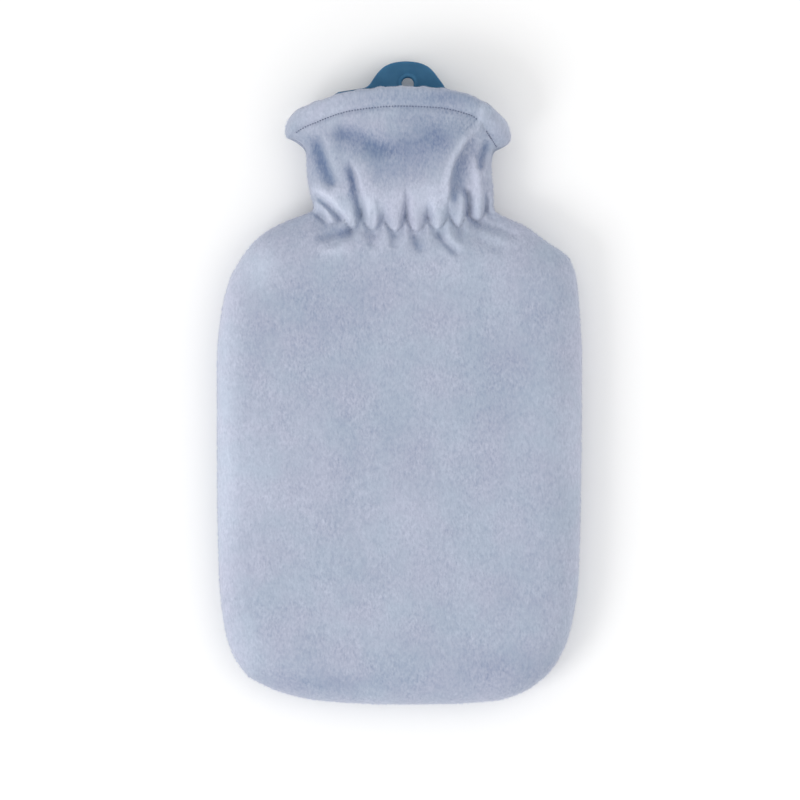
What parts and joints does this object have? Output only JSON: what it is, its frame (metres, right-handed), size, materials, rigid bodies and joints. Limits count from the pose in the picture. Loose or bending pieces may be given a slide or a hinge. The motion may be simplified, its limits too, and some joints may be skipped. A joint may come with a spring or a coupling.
{
  "type": "hot water bottle cover with its bottle",
  "caption": "Soft velour hot water bottle cover with a gathered neck and flared hemmed collar, fitted on a plain rubber bottle whose funnel and hanging tab show.",
  "frame": {"origin": "bottom centre of the whole, on the surface that the back rests on", "axes": "+Y along the bottle from its closed end to its neck, +Z out of the front face, +X across it"},
  "size_m": [0.202, 0.3568, 0.0448],
  "materials": {
    "velour": "brushed velour pile",
    "rubber": "satin moulded rubber"
  },
  "bodies": {
    "root": {"front_panel": "velour", "back_panel": "velour", "bottle": "rubber", "hanging_tab": "rubber"}
  },
  "joints": []
}
